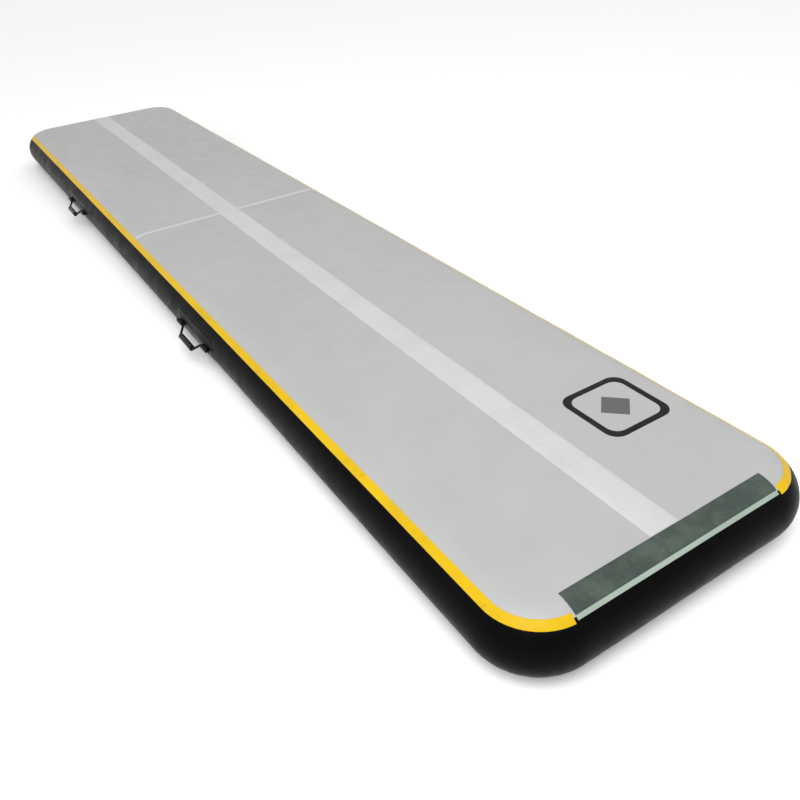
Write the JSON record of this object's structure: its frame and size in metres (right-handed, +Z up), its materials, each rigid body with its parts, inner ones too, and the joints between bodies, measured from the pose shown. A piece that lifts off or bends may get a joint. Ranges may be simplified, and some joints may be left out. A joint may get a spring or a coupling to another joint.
{
  "type": "air track mat",
  "caption": "Long inflatable tumbling mat with a flat top, bulging side walls, seam tape, centre stripe, connector strip, side carry handles and a capped air valve.",
  "frame": {"origin": "on the floor, under the middle of the mat's outline", "axes": "+Y along the mat from the connector strip's end to the valve's end, +X across it, to the right as seen from the connector strip's end, +Z up"},
  "size_m": [1.0934, 5.0006, 0.2023],
  "materials": {
    "top_fabric": "matte",
    "bottom_fabric": "matte",
    "stitch_thread": "matte",
    "inner_wall_fabric": "matte",
    "wall_fabric": "satin",
    "yellow_tape": "satin",
    "black_tape": "satin",
    "marking_film": "matte",
    "dark_mark_film": "matte",
    "grey_mark_film": "matte",
    "connector_base": "matte",
    "loop_tape": "matte",
    "patch_fabric": "satin",
    "moulded_rubber": "satin",
    "handle_rope": "matte",
    "grip_rubber": "gloss",
    "ferrule_plastic": "gloss",
    "valve_plastic": "satin",
    "stem_plastic": "satin",
    "seal_rubber": "matte",
    "valve_steel": "satin"
  },
  "bodies": {
    "mat": {"top_skin": "top_fabric", "bottom_skin": "bottom_fabric", "drop_stitch_threads": "stitch_thread", "inner_side_wall": "inner_wall_fabric", "outer_side_wall": "wall_fabric", "rear_wall_panel": "wall_fabric", "top_seam_tape": "yellow_tape", "bottom_seam_tape": "black_tape", "wall_joint_tapes": "black_tape", "centre_stripe": "marking_film", "cross_line": "marking_film", "mark_border_square": "dark_mark_film", "mark_diamond": "grey_mark_film", "connector_backing": "connector_base", "connector_loop_tape": "loop_tape", "handle_patch_front_left": "patch_fabric", "handle_tunnels_front_left": "moulded_rubber", "handle_patch_front_right": "patch_fabric", "handle_tunnels_front_right": "moulded_rubber", "handle_patch_rear_left": "patch_fabric", "handle_tunnels_rear_left": "moulded_rubber", "handle_patch_rear_right": "patch_fabric", "handle_tunnels_rear_right": "moulded_rubber", "valve_boot": "moulded_rubber", "valve_body": "valve_plastic", "valve_chamber": "valve_plastic", "valve_gasket": "seal_rubber", "valve_nut": "valve_plastic", "valve_spring": "valve_steel", "valve_cap_hinge_pin": "valve_steel"},
    "handle_front_left": {"handle_cord_front_left": "handle_rope", "handle_grip_front_left": "grip_rubber", "handle_ferrules_front_left": "ferrule_plastic"},
    "handle_front_right": {"handle_cord_front_right": "handle_rope", "handle_grip_front_right": "grip_rubber", "handle_ferrules_front_right": "ferrule_plastic"},
    "handle_rear_left": {"handle_cord_rear_left": "handle_rope", "handle_grip_rear_left": "grip_rubber", "handle_ferrules_rear_left": "ferrule_plastic"},
    "handle_rear_right": {"handle_cord_rear_right": "handle_rope", "handle_grip_rear_right": "grip_rubber", "handle_ferrules_rear_right": "ferrule_plastic"},
    "cap": {"valve_cap": "valve_plastic", "valve_cap_seal": "seal_rubber"},
    "stem": {"valve_stem": "stem_plastic", "valve_diaphragm": "seal_rubber", "valve_stem_clip": "valve_steel"}
  },
  "joints": [
    {"name": "handle_front_left_swing", "type": "hinge", "parent": "mat", "child": "handle_front_left", "pos_m": [-0.5097, -0.63, 0.1], "axis": [0, 1, 0], "range_deg": [-50, 130]},
    {"name": "handle_front_right_swing", "type": "hinge", "parent": "mat", "child": "handle_front_right", "pos_m": [0.5097, -0.63, 0.1], "axis": [0, -1, 0], "range_deg": [-50, 130]},
    {"name": "handle_rear_left_swing", "type": "hinge", "parent": "mat", "child": "handle_rear_left", "pos_m": [-0.5097, 1.1, 0.1], "axis": [0, 1, 0], "range_deg": [-50, 130]},
    {"name": "handle_rear_right_swing", "type": "hinge", "parent": "mat", "child": "handle_rear_right", "pos_m": [0.5097, 1.1, 0.1], "axis": [0, -1, 0], "range_deg": [-50, 130]},
    {"name": "valve_cap_hinge", "type": "hinge", "parent": "mat", "child": "cap", "pos_m": [0.15, 2.4945, 0.127], "axis": [1, 0, 0], "range_deg": [0, 150]},
    {"name": "valve_stem_press", "type": "slide", "parent": "mat", "child": "stem", "axis": [0, -1, 0], "range_m": [0, 0.008], "stiffness_N_per_m": 300, "springref_m": -0.008, "deforming": ["valve_spring"]}
  ]
}
